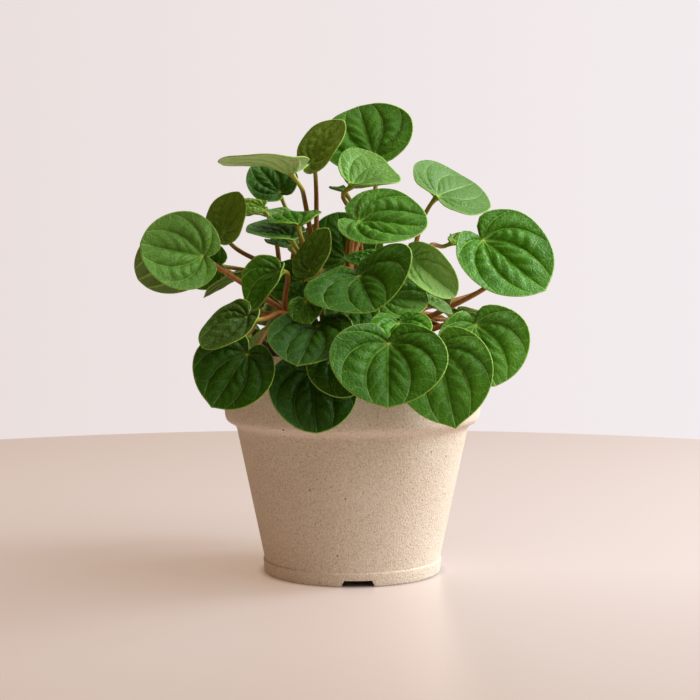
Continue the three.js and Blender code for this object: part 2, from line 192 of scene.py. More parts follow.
def point_numbers(tree, *labels):
    return [add_node(tree, "Attribute", attribute_name=label).outputs["Fac"] for label in labels]


def new_material(name, finish):
    material = bpy.data.materials.new(name)
    material.use_nodes = True
    tree = material.node_tree
    shader = tree.nodes["Principled BSDF"]
    fill(tree, shader, finish)
    return material, tree, shader, add_node(tree, "TexCoord").outputs["Object"]


def join_surface(tree, shader, base, height, depth):
    """Gives the surface its colour, and a bump of this depth in metres."""
    bump = add_node(tree, "Bump", {"Height": height, "Distance": depth, "Strength": 1.0})
    fill(tree, shader, {"Base Color": base, "Normal": bump})

# %% [markdown]
# ## Where each leaf grows
# Ten short stems stand in the soil, each with a foot and a top in millimetres. The table names a
# stem and gives a row for each of its leaves: how far up the stem its leafstalk leaves; the point
# where leafstalk and blade meet; azimuth and elevation of the way that the upper side faces, and of
# the tip; length and width; how much the blade cups, droops and folds, and how deep its funnel is;
# a number for painted light, from -1 for olive painted shade lit from behind to 1 for a pale painted
# sheen; a number for painted shade, which darkens the whole blade; and for some a point that the
# leafstalk passes. Places and sizes are the solids' own, so each fine leaf covers its solid.

# %% Stems and leaves
SOIL_TOP = 100.5
SOIL_MOUND = 110
ROOT_DEPTH = 9

STEMS = {
    "stem_left": [(-20, -14), (-30, -22, 122)],
    "stem_left_back": [(-12, 4), (-16, 2, 136)],
    "stem_middle": [(0, -6), (-2, -10, 134)],
    "stem_right": [(17, -2), (22, -6, 122)],
    "stem_front": [(-8, -30), (-12, -38, 112)],
    "stem_front_right": [(20, -24), (28, -33, 112)],
    "stem_back_left": [(-18, 34), (-26, 42, 118)],
    "stem_back_right": [(18, 32), (26, 40, 120)],
    "shoot_left": [(-26, 14), (-30, 18, 118)],
    "shoot_right": [(4, 16), (6, 20, 120)],
}

LEAF_TABLE = """
stem_left
leaf_01  1  -67.2 -30 147.8  -82 14  180 8  38 36  0.25 0.05 0.1 0  0.4 0
leaf_02  0.9  -76 -12 148.9  96 18  185 -32  36 32  0.2 0 0 0  -0.8 0.5
leaf_05  0.8  -53 -3 140  169 58  180 -31  26 24  0 0 0 0  -0.5 0
leaf_18  1  -33.4 -45 141.2  -132 17  -170 -50  27 22  0.1 0 0.85 0  0 0.2
leaf_20  0.9  -45.5 -72 122.7  -122 40  196 -46  31 24  0.15 0 0.2 0  -0.6 0.65
stem_left_back
leaf_03  0.8  -60.5 -10 159  -128 21  11 58  27 26  0.2 0 0 0  -0.8 0
leaf_04  0.7  -64 5 144  -100 10  185 0  26 24  0 0 0 0  0 0
leaf_06  1  -28 -25 191.3  150 85.3  183 2  44 40  0.05 0 0 4  0.95 0  -22 5 172
leaf_07  0.95  -35.6 36 180.5  -88 37  151 44  26 26  0.2 0 0.05 0  0 0.5
leaf_08  1  -19.5 2 193.2  -137 35  -8 47  32 32.5  0.15 0 0.05 0  -1 0
leaf_12  0.9  -24.8 -25 163.8  -110 74  107 11  20 25  0.1 0 0.1 0  0 0
leaf_13  0.85  -28.3 -20 158.1  -96 73  164 13  28 31  0.2 0 0 0  0 0.25
leaf_14  0.8  -28.9 -8 154.4  -110 76  162 4  16 20  0.2 0 0 0  0 0
leaf_19  0.5  -23.9 -14 136.8  -104 24  178 -6  22 22  0.15 0 0 0  0 0.35
stem_middle
leaf_09  1  9.6 12 196.7  -106 39  117 58  41 45  0.2 0 0.05 0  0.1 0
leaf_10  1  1.9 -12 185.7  -48 59  22 20  27 36  0.35 0 0 4  0.55 0  -0.2 -5 166.8
leaf_11  1  2.7 -35 164.2  -85 48  -9 -13  42 39  0.2 0 0.12 0  0.1 0
leaf_15  0.9  -3.4 18 147.6  -101 28  100 50  33 34  0.15 0 0 0  0 0.35
leaf_16  0.9  -20.4 -35 141.6  -143 29  -1 59  28 26  0.15 0 0.15 0  -0.5 0.35
leaf_17  0.9  1.9 -58 139.9  -111 43  -71 -34  34 49  0 0 0.35 0  0 0.32
leaf_37  0.8  -0.1 -50 128.5  -81 30  -100 -40  24 25  0.15 0 0.1 0  0 0.3
leaf_38  0.8  10 -30 147  -90 70  180 -5  20 21  0 0 0 0  0 0
stem_right
leaf_29  0.9  54.5 -30 113  -100 35  150 30  18 18  0 0 0 0  0.6 0
leaf_30  0.4  60 -20 155.6  -70 27  -12 -45  48 48  0.2 0 0.12 0  0 0  69 -2 140
leaf_31  1  49 4 156.5  -45 50  0 -37  18 16  0.15 0 0 0  -0.9 0  36 -1 152.5
leaf_32  0.9  26.4 -44 146.4  -83 8  0 -41  34 18  0.05 0 1 0  1 0  27 -24 134
leaf_33  0.9  14.2 -46.2 129.3  -84 44  -1 -6  26 26  0.15 0 0 0  0.4 0
leaf_34  0.8  33 -24 129  -30 60  -10 -5  20 18  0 0 0 0  0.8 0
leaf_36  1  40.6 0 177.3  -41 51  56 9  44 41  0.15 0 0.05 0  0.4 0.3
stem_front
leaf_21  1  -45.2 -70 106.2  -106 14  -150 -51  35 37  0.2 0 0.1 0  0 0.6  -35 -49 116
leaf_22  0.9  -17.7 -66 99  -80 24  -89 -91  40 38  0.2 0 0 0  0 0.65  -18 -61 114
leaf_23  0.9  -6.1 -72 106.7  -85 26  -62 -62  29 30  0.15 0 0 0  0 0.5  -4 -60 116
leaf_24  1  -15.2 -67 118.8  -103 43  -112 -43  35 37  0.2 0 0.12 0  0 0.6
leaf_25  1  -20.8 -63.5 128.7  -108 27  -60 -55  17 16  0.15 0 0.1 0  0 0.1
stem_front_right
leaf_26  1  15 -80 111.6  -90 28  -92 -52  41 49  0.1 0 0.2 0  0 0.28
leaf_27  1  36.8 -62 107.7  -90 10  -55 -70  44 42  0.1 0 0.2 0  0.1 0  32 -51 116
leaf_28  1  54.5 -45 117.5  -76 8  -46 -65  38 43  0.2 0 0.1 0  0.1 0  44 -37 118
leaf_35  0.9  19.8 -60 120  -85 55  -80 -30  25 27  0.15 0 0.1 0  0 0
stem_back_left
leaf_41  1  -6 72 160  95 40  95 -40  46 46  0.1 0.2 0 0  0 0
leaf_42  1  -32 60 136  125 45  130 -35  42 42  0.1 0.2 0 0  0 0.4
leaf_45  0.9  -31.5 71 109  115 35  115 -60  42 44  0 0.1 0 0  0 0.5  -27 55 117
leaf_46  1  -82 42 152  140 45  150 -35  36 36  0.1 0.1 0 0  0 0
leaf_47  0.9  -58 57 110  135 30  135 -55  34 34  0 0.1 0 0  0 0.5  -45 45 119
stem_back_right
leaf_39  1  82.5 70 148  20 55  35 -15  34 36  0.1 0.1 0 0  0 0  67.8 59 132.2
leaf_40  0.9  24 75 142  75 45  70 -35  44 44  0.1 0.2 0 0  0 0
leaf_43  1  60 62 109  45 35  45 -60  42 44  0 0.1 0 0  0 0  44 46 118
leaf_44  0.9  14 86 105  80 30  80 -60  44 46  0 0.1 0 0  0 0  16 60 117
shoot_left
young_01  1  -43.4 10 172.5  -100 50  182 -12  17 13  0 0 0 0  -1 0
young_02  1  -31 22 168.5  -80 75  180 5  22 22  0 0 0 0  0.6 0
young_03  0.9  -36 25 142  120 60  180 -10  26 26  0 0.1 0 0  0 0
young_04  0.9  -8 34 136  90 60  100 -10  24 24  0 0.1 0 0  0 0
young_05  0.8  -46 22 124  150 55  170 -15  24 24  0 0.1 0 0  0 0
shoot_right
young_06  1  -3.8 4 180.8  -97 78  203 1  10 11  0 0 0 0  0 0  3 6 160
young_07  1  10 49 132  85 60  90 -10  26 26  0 0.1 0 0  0 0
young_08  0.9  28 20 135  60 60  40 -10  32 32  0 0.1 0 0  0 0
young_09  1  10 38 148  95 70  110 0  30 30  0 0.1 0 0  0 0
young_10  0.9  54 34 121  40 55  35 -15  30 30  0 0.1 0 0  0.3 0
"""

# How far a tip is drawn out, and the share of relief, for leaves that differ from the rest
POINTED = {
    "leaf_05": 0.05, "leaf_18": 0.03, "leaf_21": 0.04, "leaf_24": 0.04, "leaf_25": 0.08,
    "leaf_26": 0.03, "leaf_27": 0.07, "leaf_30": 0.03, "leaf_35": 0.04, "leaf_37": 0.04,
}
FLATTER = {
    "leaf_06": 0.5, "leaf_10": 0.65, "leaf_13": 0.7, "leaf_32": 0.6, "leaf_36": 0.35, "young_02": 0.5,
}
LEAVES = {}
for line in LEAF_TABLE.split("\n"):
    name, *words = line.split() or [""]
    if not words:
        leafy_stem = name
        continue
    row = [float(word) for word in words]
    LEAVES[name] = {
        "name": name, "stem": leafy_stem, "leaving": row[0], "at": row[1:4], "face": row[4:6],
        "tip": row[6:8], "length": row[8], "width": row[9], "form": row[10:14], "tone": row[14],
        "age": row[15], "by": row[16:],
    }
LEAVES = dict(sorted(LEAVES.items()))
print("leaves", len(LEAVES), "on", len(STEMS), "stems")

# %% [markdown]
# ## The shape of one blade
# A peperomia blade is nearly round, notched behind and pointed in front. Its main veins fan out from
# the leafstalk and bend towards the tip, sunk into the upper side, and the flesh between them swells
# like a quilt. That is a rule, so the blade is worked out rather than modelled by hand: a point is
# named by its column, the angle at which its vein leaves the leafstalk, and its ring, the share of
# the way to the margin. Both are NumPy arrays, so one call works out a whole blade.

# %% Outline of a blade
VEIN_BEND = 0.8
VEIN_POWER = 1.7
VEIN_COLUMNS = np.array([0, 44, 88, 128, 180])
EGG = 0.08
BASE_SHARE = 0.22
SINUS_WIDTH = 0.34
SINUS_RADIUS = 1.6
TIP_REACH = 0.05
TIP_WIDTH = 0.12
BLUNT = 0.012


def half_length(leaf):
    return (1 - TIP_REACH) * leaf["length"] / 2


def middle_of(leaf):
    return half_length(leaf) - BASE_SHARE * leaf["length"]


def margin_radius(leaf, theta):
    a, b, centre = half_length(leaf), leaf["width"] / 2, middle_of(leaf)
    square = (np.cos(theta) / a) ** 2 + (np.sin(theta) / b) ** 2
    along = centre * np.cos(theta) / a**2
    ellipse = (along + np.sqrt(along**2 - square * ((centre / a) ** 2 - 1))) / square
    point = POINTED.get(leaf["name"], BLUNT) * leaf["length"]
    reach = ellipse + point * np.exp(-np.abs(theta) / TIP_WIDTH)
    notch = 1 - np.exp(-(((np.pi - np.abs(theta)) / SINUS_WIDTH) ** 2))
    return SINUS_RADIUS + (reach - SINUS_RADIUS) * notch


def vein_angle(column, ring):
    phi = np.radians(column)
    return phi - VEIN_BEND * ring**VEIN_POWER * np.sin(phi)

# %% [markdown]
# The relief has three sizes. Broad rolls swell between the main veins, small pillows swell between
# the cross veins inside each roll, and a narrow groove follows each main vein. The cross veins are
# counted along a slanted ring number, so one formula places them all, here and in the material.

# %% Relief of a blade
ROLL = np.array([1.4, 1.4, 1.1, 0.4])
PILLOW = np.array([1.5, 1.3, 1.1, 0.45])
SWELL_FULL = 0.35
SWELL_ENDS = 0.55
SWELL_LOSS = 0.95
GROOVE = 0.5
GROOVE_WIDTH = 0.6
RELIEF_LENGTH = 40
DIMPLE = 1.5
DIMPLE_WIDTH = 5
FOLD_WIDTH = 3
WAVE = 0.7
FINE_WAVE = 0.3
CROSS_COUNT = np.array([4.6, 6.0, 6.5, 5.0])
CROSS_SLANT = np.array([0.42, 0.25, 0.55, 0.6])
CROSS_STAGGER = np.array([0.15, 0.55, 0.3, 0.8])
CROSS_WANDER = 0.09
OTHER_SIDE = 0.4


def smooth_step(value, low, high):
    share = np.clip((value - low) / (high - low), 0, 1)
    return share**2 * (3 - 2 * share)


def strip_of(column):
    """The strip between two main veins that a column lies in, and the share of the way across it."""
    turn = np.abs(column)
    strip = np.clip(np.searchsorted(VEIN_COLUMNS, turn, side="right") - 1, 0, 3)
    start, end = VEIN_COLUMNS[strip], VEIN_COLUMNS[strip + 1]
    return strip, np.clip((turn - start) / (end - start), 0, 1)


def cross_number(leaf, strip, across, left, ring):
    """A running number over a strip, whole on each cross vein."""
    lean = CROSS_SLANT[strip] * across * (0.75 + 0.25 * across)
    shift = CROSS_STAGGER[strip] + OTHER_SIDE * left + 0.37 * leaf["at"][2]
    shift = shift + CROSS_WANDER * np.sin(4 * across + 9 * ring + leaf["at"][0] + 2 * strip)
    return CROSS_COUNT[strip] * (ring - lean) + shift


def blade_surface(leaf, column, ring):
    """The upper side in the leaf's own axes, and the distances that its finish needs."""
    theta = vein_angle(column, ring)
    reach = margin_radius(leaf, theta)
    radius = ring * reach
    x = radius * np.cos(theta)
    y = radius * np.sin(theta) * (1 - EGG * (x - middle_of(leaf)) / half_length(leaf))

    strip, across = strip_of(column)
    squeeze = 1 - VEIN_BEND * ring**VEIN_POWER * np.cos(np.radians(column))
    turn = np.radians(VEIN_COLUMNS[strip + 1] - VEIN_COLUMNS[strip])
    width = np.maximum(radius * turn * squeeze, 0.05)
    last_half = (strip == 3) & (across > 0.5)
    vein = np.where(last_half, across, np.minimum(across, 1 - across)) * width
    crossing = cross_number(leaf, strip, across, column < 0, ring)
    steepness = CROSS_COUNT[strip] * np.hypot(1 / reach, CROSS_SLANT[strip] / width)

    flatter = FLATTER.get(leaf["name"], 1)
    scale = leaf["length"] / RELIEF_LENGTH * flatter
    swell = smooth_step(ring, 0, SWELL_FULL) * (1 - SWELL_LOSS * smooth_step(ring, SWELL_ENDS, 1))
    arch = 4 * across * (1 - across)
    roll = ROLL[strip] * scale * arch * swell
    pillow = PILLOW[strip] * scale * (1 - np.cos(2 * np.pi * crossing)) / 2 * np.sqrt(arch) * swell
    groove = GROOVE * flatter * np.exp(-((vein / GROOVE_WIDTH) ** 2))
    groove = groove * smooth_step(ring, 0, 0.1) * (1 - ring**3)

    cup, droop, fold, funnel = leaf["form"]
    phase = leaf["at"][0] + leaf["at"][2]
    dimple = (DIMPLE + funnel) * np.exp(-((radius / (DIMPLE_WIDTH + funnel)) ** 2))
    bowl = cup * radius**2 / leaf["length"]
    hang = droop * np.maximum(0, x) ** 2 / leaf["length"]
    crease = fold * (np.hypot(y, FOLD_WIDTH) - FOLD_WIDTH)
    wave = WAVE * ring**2 * np.sin(3 * theta + phase)
    ripple = FINE_WAVE * ring**3 * np.sin(7 * theta + 2 * phase)
    z = roll + pillow - groove - dimple + bowl - hang + crease + wave + ripple
    numbers = {"vein": vein, "cross_reach": 1 / steepness, "edge": reach - radius, "heart": radius}
    return np.stack([x, y, z], -1), numbers

# %% [markdown]
# A blade is about 0.8 mm of flesh, thicker along its veins and thinner at the margin, so the mesh is
# a closed sheet: the upper side, the lower side set back along the surface's own direction, and a
# rounded edge between them. Columns stand closer beside the main veins, where the groove needs them.
# A second map runs across each strip and counts the cross veins along it, so that the material can
# draw them sharper than the mesh could.

# %% Mesh of a blade
BLADE_THICKNESS = 0.8
MARGIN_THINNER = 0.25
RIB = 0.45
RIB_WIDTH = 0.9
EDGE_INSET = 0.3
SHARES_ACROSS = (1 - np.cos(np.linspace(0, np.pi, 11)[:-1])) / 2
RINGS = np.concatenate([[0.025, 0.06], np.linspace(0.1, 0.94, 22), [0.97]])

half = [a + (b - a) * t for a, b in zip(VEIN_COLUMNS, VEIN_COLUMNS[1:]) for t in SHARES_ACROSS]
COLUMNS = np.array([*half, 180, *(-turn for turn in reversed(half[1:]))])


def leaf_axes(leaf):
    """Unit vectors along the leaf, across it and out of its upper side."""
    face = direction(*leaf["face"])
    tip = direction(*leaf["tip"])
    tip = tip - tip.dot(face) * face
    tip /= np.linalg.norm(tip)
    return np.array([tip, np.cross(face, tip), face])


def to_part(leaf, points):
    return points @ leaf_axes(leaf) + leaf["at"]


def side_directions(points, centre):
    """The direction out of the upper side at each point of the grid."""
    first = np.tile(centre, (1, points.shape[1], 1))
    outwards = np.gradient(np.concatenate([first, points]), axis=0)[1:]
    around = np.roll(points, -1, 1) - np.roll(points, 1, 1)
    normal = np.cross(outwards, around)
    return normal / np.linalg.norm(normal, axis=-1, keepdims=True)


def blade_faces(rows, count):
    """Blocks of faces by point number: upper quads, lower quads, and a fan round each heart."""
    j = np.arange(count)
    k = (j + 1) % count
    lower = 1 + rows * count
    blocks = []
    for i in range(rows - 1):
        here, out = 1 + i * count, 1 + (i + 1) * count
        blocks.append(np.stack([here + j, out + j, out + k, here + k], -1))
    for i in range(rows - 1):
        here = lower + 1 + i * count
        out = here + count if i < rows - 2 else 1 + (rows - 1) * count
        blocks.append(np.stack([here + k, out + k, out + j, here + j], -1))
    blocks.append(np.stack([0 * j, 1 + j, 1 + k], -1))
    blocks.append(np.stack([lower + 0 * j, lower + 1 + k, lower + 1 + j], -1))
    return blocks


def blade_mesh(leaf):
    rings = np.append(RINGS, [1 - EDGE_INSET / leaf["length"] * 2, 1])
    column, ring = np.meshgrid(COLUMNS, rings)
    upper, numbers = blade_surface(leaf, column, ring)
    heart, heart_numbers = blade_surface(leaf, np.zeros(1), np.zeros(1))
    out = side_directions(upper, heart[0])
    rib = RIB * np.exp(-((numbers["vein"] / RIB_WIDTH) ** 2)) * (1 - ring)
    thickness = BLADE_THICKNESS - MARGIN_THINNER * ring**2 + rib * leaf["length"] / RELIEF_LENGTH
    lower = upper - out * thickness[..., None]
    upper[-1] = (upper[-1] + lower[-1]) / 2
    lower_heart = heart - [[0, 0, BLADE_THICKNESS + RIB]]
    points = np.concatenate([heart, upper.reshape(-1, 3), lower_heart, lower[:-1].reshape(-1, 3)])

    rows, count = column.shape
    labelled = {"side": np.concatenate([np.ones(rows * count + 1), np.zeros((rows - 1) * count + 1)])}
    for label in ("tone", "age"):
        labelled[label] = np.full(len(points), leaf[label])
    for label, values in numbers.items():
        first = heart_numbers[label]
        labelled[label] = np.concatenate([first, values.ravel(), first, values[:-1].ravel()])

    faces = [face for block in blade_faces(rows, count) for face in block.tolist()]
    mesh = new_mesh(leaf["name"], to_part(leaf, points), faces, numbers=labelled)
    add_net_map(mesh, leaf, rings)
    return mesh


def add_net_map(mesh, leaf, rings):
    """Gives each face corner its cross vein number and its share of the way across."""
    turned = np.roll(COLUMNS, -1)
    middle = np.where(np.abs(COLUMNS - turned) > 180, -179, (COLUMNS + turned) / 2)
    strip, _ = strip_of(middle)
    start, end = VEIN_COLUMNS[strip], VEIN_COLUMNS[strip + 1]
    here, there = [(np.abs(turn) - start) / (end - start) for turn in (COLUMNS, turned)]
    bands = [(inner, outer, outer, inner) for inner, outer in zip(rings, rings[1:])]
    blocks = [((here, here, there, there), band) for band in bands]
    blocks += [((there, there, here, here), band) for band in bands]
    blocks += [(way, (0, rings[0], rings[0])) for way in ((here, here, there), (there, there, here))]
    corners = []
    for way, ring in blocks:
        sides = [(cross_number(leaf, strip, a, middle < 0, r), a) for a, r in zip(way, ring)]
        corners.append(np.array(sides).transpose(2, 0, 1).reshape(-1, 2))
    layer = mesh.uv_layers.new(name="net")
    layer.data.foreach_set("uv", np.concatenate(corners).astype(np.float32).ravel())

# %% [markdown]
# ## The finish of a leaf
# Up close a peperomia leaf has four layers of drawing: pale main veins that narrow towards the
# margin, finer cross veins, a net of the smallest veins, and a thin yellow-green line along the
# margin, partly the leaf's own pale margin and partly a painted highlight of light catching the edge,
# drawn all round. The skin is waxy, with a broad soft sheen. A picture of all this would blur and
# repeat, so the material works from the distances stored on the mesh: each leaf has its own drawing,
# and its lines stay sharp at any size. Painted light is stored there too: pale leaves carry a painted
# sheen that also makes their veins fainter, olive ones carry painted shade lit through from behind,
# and the painted shade number makes a leaf a deeper green all over where it lies in shade. Beside the
# main veins the skin is painted darker, as shade in their grooves.

# %% Leaf material
SKIN_DARK = colour(40, 98, 0)
SKIN_MIDDLE = colour(86, 148, 4)
# Painted shade in the grooves beside the main veins
SKIN_GROOVE_SHADE = colour(36, 88, 4)
# Painted shade: a whole leaf lying in shade is painted a deeper green
SKIN_IN_SHADE = colour(20, 50, 6)
# Painted light: olive is painted shade lit through from behind, pale is a painted sheen
SKIN_PAINTED_BACKLIT_SHADE = colour(122, 154, 42)
SKIN_PAINTED_SHEEN = colour(132, 174, 84)
UNDERSIDE = colour(108, 136, 62)
# Painted sheen on the lower side of pale leaves
UNDER_PAINTED_SHEEN = colour(216, 240, 168)
VEIN_COLOUR = colour(156, 204, 92)
# Margin line: the leaf's own pale margin, brightened as a painted highlight of lit edges
MARGIN_AND_EDGE_HIGHLIGHT = colour(164, 196, 80)
HEART_COLOUR = colour(182, 206, 74)
LEAF_FINISH = {
    "Roughness": 0.36, "Specular IOR Level": 0.18,
    "Subsurface Weight": 0.15, "Subsurface Scale": 0.001, "Subsurface Radius": (0.7, 1.2, 0.15),
}
SKIN_SCALE = 55
NET_SCALE = 420
GRAIN_SCALE = 2600
FLESH_SCALE = 850

# Where each line is full and where it ends, and its strength
MAIN_WIDTH = {"near": 0, "far": 20, "low": 0.22, "high": 0.5}
MAIN_LINE, MAIN_SHARE = (0.3, 1.3), 0.9
CROSS_LINE, CROSS_SHARE = (0.05, 0.34), 0.2
NET_LINE, NET_SHARE = (0.0, 0.12), 0.06
# Painted shade beside the main veins
GROOVE_SHADE_LINE, GROOVE_SHADE_SHARE = (0.2, 3.0), 0.12
# The margin line, partly a painted highlight of the lit edge
MARGIN_HIGHLIGHT_LINE, MARGIN_HIGHLIGHT_SHARE = (0.1, 0.6), 0.75
HEART_SPOT = (0.2, 1.1)
# A painted sheen makes the main veins fainter
SHEEN_WEAKENS_VEINS = -0.5
UNDER_SHARE = 0.6


def leaf_material():
    material, tree, shader, place = new_material("leaf skin", LEAF_FINISH)
    net_map = add_node(tree, "UVMap", uv_map="net").outputs["UV"]
    crossing = add_node(tree, "SeparateXYZ", {"Vector": net_map}).outputs["X"]
    vein, reach, edge, heart = point_numbers(tree, "vein", "cross_reach", "edge", "heart")
    side, tone, age = point_numbers(tree, "side", "tone", "age")

    width = stretch(tree, edge, **MAIN_WIDTH)
    main = ramp_down(tree, reckon(tree, "DIVIDE", vein, width), *MAIN_LINE)
    off_line = reckon(tree, "PINGPONG", crossing, 0.5)
    cross = ramp_down(tree, times(tree, off_line, reach), *CROSS_LINE)
    inputs = {"Vector": place, "Scale": NET_SCALE}
    cells = add_node(tree, "TexVoronoi", inputs, feature="DISTANCE_TO_EDGE")
    net = ramp_down(tree, cells, *NET_LINE)

    # Painted light per leaf: above zero a pale painted sheen, below zero olive painted shade lit from
    # behind
    pale = reckon(tree, "MAXIMUM", tone, 0.0)
    olive = reckon(tree, "MAXIMUM", times(tree, tone, -1.0), 0.0)
    strength = reckon(tree, "MULTIPLY_ADD", pale, SHEEN_WEAKENS_VEINS, MAIN_SHARE)
    # Painted shade: the skin darkens beside each main vein, as shade in its groove
    groove_shade = times(tree, ramp_down(tree, vein, *GROOVE_SHADE_LINE), GROOVE_SHADE_SHARE)
    skin = blend(tree, noise(tree, place, SKIN_SCALE, 4), SKIN_DARK, SKIN_MIDDLE)
    for share, tint in ((groove_shade, SKIN_GROOVE_SHADE), (pale, SKIN_PAINTED_SHEEN), (olive, SKIN_PAINTED_BACKLIT_SHADE)):
        skin = blend(tree, share, skin, tint)
    for lines, share in ((net, NET_SHARE), (cross, CROSS_SHARE), (main, strength)):
        skin = blend(tree, times(tree, lines, share), skin, VEIN_COLOUR)
    # Painted shade darkens the whole leaf where it lies in shade
    skin = blend(tree, age, skin, SKIN_IN_SHADE)
    under = blend(tree, pale, UNDERSIDE, UNDER_PAINTED_SHEEN)
    under = blend(tree, times(tree, main, UNDER_SHARE), under, VEIN_COLOUR)
    both = blend(tree, side, under, skin)
    both = blend(tree, ramp_down(tree, heart, *HEART_SPOT), both, HEART_COLOUR)
    # The margin line, partly the leaf's pale margin and partly a painted highlight of the lit edge
    margin = times(tree, ramp_down(tree, edge, *MARGIN_HIGHLIGHT_LINE), MARGIN_HIGHLIGHT_SHARE)
    both = blend(tree, margin, both, MARGIN_AND_EDGE_HIGHLIGHT)

    grain = noise(tree, place, GRAIN_SCALE, 3)
    flesh = noise(tree, place, FLESH_SCALE, 4)
    height = stack(tree, (cross, -0.05), (net, -0.05), (grain, 0.05), (flesh, 0.5))
    join_surface(tree, shader, both, height, MM)
    return material

# %% [markdown]
# ## Leaves
# Every blade is now one call, and its own piece in the place of its solid. The young leaves grow on
# two shoots whose solids hold leafstalks and blades together, so their blades stand for the shoot.

# %% Grow the leaves
LEAF_SKIN = leaf_material()


def dress(piece, nodes, slot_name, material=None):
    """What every finished piece needs: it rides, stands for its solids and has a finish."""
    if material:
        piece.data.materials.append(material)
    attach(piece, "root")
    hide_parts(*nodes)
    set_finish(piece, slot_name)


for name, leaf in LEAVES.items():
    piece = link_object(name.replace("leaf", "blade"), blade_mesh(leaf))
    dress(piece, [name if name in frame["nodes"] else leaf["stem"]], "leaf", LEAF_SKIN)
print("blades", len(LEAVES), "with", len(piece.data.polygons), "faces each")

# %% [markdown]
# ## Stems and leafstalks
# A leafstalk is a round tube along a path, so Geometry Nodes sweep it: lines become curves, each
# curve takes its thickness from its points, and a circle is carried along it. The paths are the
# solids' own: smooth bends from stem to blade, through a middle point where a row has one. At the
# blade a leafstalk widens, and its last millimetre lies in the flesh.

# %% Paths
CLEAR = 0.35
STEM_RADII = (2.6, 2.1)
STALK_RADII = (1.4, 0.95)
STALK_GAP = 0.3
STALK_STRAIGHT = 5
INTO_STALK = 0.55
STALK_RISE = np.array([0.55, 0, 0.84])
PATH_STEPS = 28
BEND_STEPS = 201
THROUGH_STEPS = 60
OUTWARD = 0.55
LEAVE_PULL = 0.33
ARRIVE_PULL = 0.3
INTO_BLADE = 0.9
FLARE = 0.75
FLARE_LENGTH = 3.5


def bezier(points, steps=BEND_STEPS):
    a, b, c, d = np.array(points, float)
    t = np.linspace(0, 1, steps)[:, None]
    return (1 - t) ** 3 * a + 3 * (1 - t) ** 2 * t * b + 3 * (1 - t) * t**2 * c + t**3 * d


def through(points):
    """A smooth path through points, its knots spaced by the root of their distances."""
    inner = np.array(points, float)
    points = np.concatenate([[2 * inner[0] - inner[1]], inner, [2 * inner[-1] - inner[-2]]])
    path = []
    for before, start, end, after in zip(points, points[1:], points[2:], points[3:]):
        gaps = [np.linalg.norm(b - a) ** 0.5 for a, b in ((before, start), (start, end), (end, after))]
        chord = (end - start) / gaps[1]
        leave = (start - before) / gaps[0] - (end - before) / (gaps[0] + gaps[1]) + chord
        arrive = chord - (after - start) / (gaps[1] + gaps[2]) + (after - end) / gaps[2]
        leave, arrive = leave * gaps[1] / 3, arrive * gaps[1] / 3
        path.append(bezier([start, start + leave, end - arrive, end], THROUGH_STEPS))
    return np.concatenate(path)


def lengths_along(path):
    return np.concatenate([[0], np.cumsum(np.linalg.norm(np.diff(path, axis=0), axis=1))])


def points_at(path, shares):
    run = lengths_along(path)
    return np.stack([np.interp(np.asarray(shares) * run[-1], run, path[:, i]) for i in range(3)], -1)


def stem_path(name):
    (x, y), top = STEMS[name]
    foot = np.array([x, y, SOIL_MOUND - ROOT_DEPTH + CLEAR])
    upright = np.array([x, y, SOIL_MOUND + 4])
    lean = upright + 0.4 * (np.array(top) - upright)
    return bezier([foot, upright, lean, top])


def stalk_path(leaf):
    rise = STALK_RISE / np.linalg.norm(STALK_RISE) @ leaf_axes(leaf)
    below = BLADE_THICKNESS + STALK_GAP + INTO_STALK * STALK_RADII[1]
    point = to_part(leaf, np.array([-0.3, 0, -DIMPLE - leaf["form"][3] - below]))
    stem = stem_path(leaf["stem"])
    before, start = points_at(stem, [leaf["leaving"] - 0.02, leaf["leaving"]])
    along = (start - before) / np.linalg.norm(start - before)
    reach = np.linalg.norm(point - start)
    out = OUTWARD * (point - start) / reach + (1 - OUTWARD) * along
    out /= np.linalg.norm(out)
    if leaf["by"]:
        path = through([start, leaf["by"], point - STALK_STRAIGHT * rise, point])
    else:
        leave, arrive = start + LEAVE_PULL * reach * out, point - ARRIVE_PULL * reach * rise
        path = bezier([start, leave, arrive, point])
    return np.concatenate([path, [point + rise * INTO_BLADE]])

# %% Lines for the sweep
def stalk_lines(stem_name):
    """Points, edges and numbers for a stem and all of its leafstalks."""
    paths = [(stem_path(stem_name), STEM_RADII, 0)]
    leaves = [leaf for leaf in LEAVES.values() if leaf["stem"] == stem_name]
    paths += [(stalk_path(leaf), STALK_RADII, 1) for leaf in leaves]
    points, edges, numbers = [], [], {"thickness": [], "along": [], "stalk": []}
    for path, (base, end), is_stalk in paths:
        shares = np.linspace(0, 1, PATH_STEPS)
        left = (1 - shares) * lengths_along(path)[-1]
        radius = base + (end - base) * shares
        if is_stalk:
            radius = radius * (1 + FLARE * (1 - smooth_step(left, 0, FLARE_LENGTH)))
        first = len(points) * PATH_STEPS
        edges += [(first + i, first + i + 1) for i in range(PATH_STEPS - 1)]
        points.append(points_at(path, shares))
        for label, values in zip(numbers, (radius * MM, shares, np.full(PATH_STEPS, is_stalk))):
            numbers[label].append(values)
    return np.concatenate(points), edges, numbers

# %% [markdown]
# The sweep is a tree with two inputs, the number of sides and the material. An input is set by its
# identifier before the object is first looked at. The result is copied to a plain mesh and the
# modifier goes, so nothing is left to be worked out again at export.

